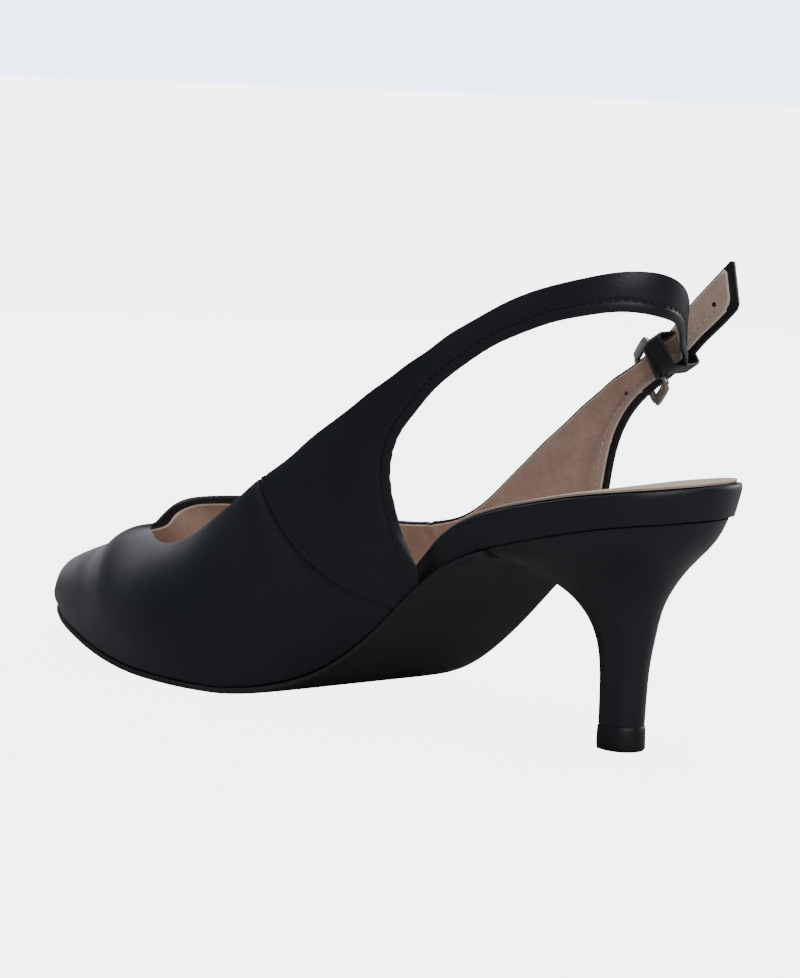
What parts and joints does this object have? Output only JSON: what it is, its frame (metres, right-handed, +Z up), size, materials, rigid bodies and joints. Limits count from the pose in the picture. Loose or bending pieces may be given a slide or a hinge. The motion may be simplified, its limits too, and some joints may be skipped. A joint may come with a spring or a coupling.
{
  "type": "slingback pump",
  "caption": "Right slingback court shoe with a pointed toe, slim covered heel, buckled heel strap with a free tail, and a wrapped footbed.",
  "frame": {"origin": "middle of the top lift's ground face, on the floor", "axes": "+X towards the toe, +Y towards the inner (medial) side of this right shoe, +Z up"},
  "size_m": [0.2452, 0.076, 0.1265],
  "materials": {
    "upper_leather": "black smooth leather with a fine grain and a soft sheen",
    "outsole_rubber": "dark matte",
    "footbed_leather": "black smooth leather wrapped round the rim",
    "sock_lining": "pale beige lining leather, matte",
    "heel_leather": "black smooth leather cover with a soft sheen",
    "lift_rubber": "satin black",
    "buckle_metal": "pewter grey, polished",
    "keeper_leather": "black smooth leather"
  },
  "bodies": {
    "root": {"upper": "upper_leather", "outsole": "outsole_rubber", "footbed": "footbed_leather", "sock": "sock_lining", "heel": "heel_leather", "top_lift": "lift_rubber", "buckle_frame": "buckle_metal", "buckle_prong": "buckle_metal", "keeper_loop": "keeper_leather"}
  },
  "joints": []
}
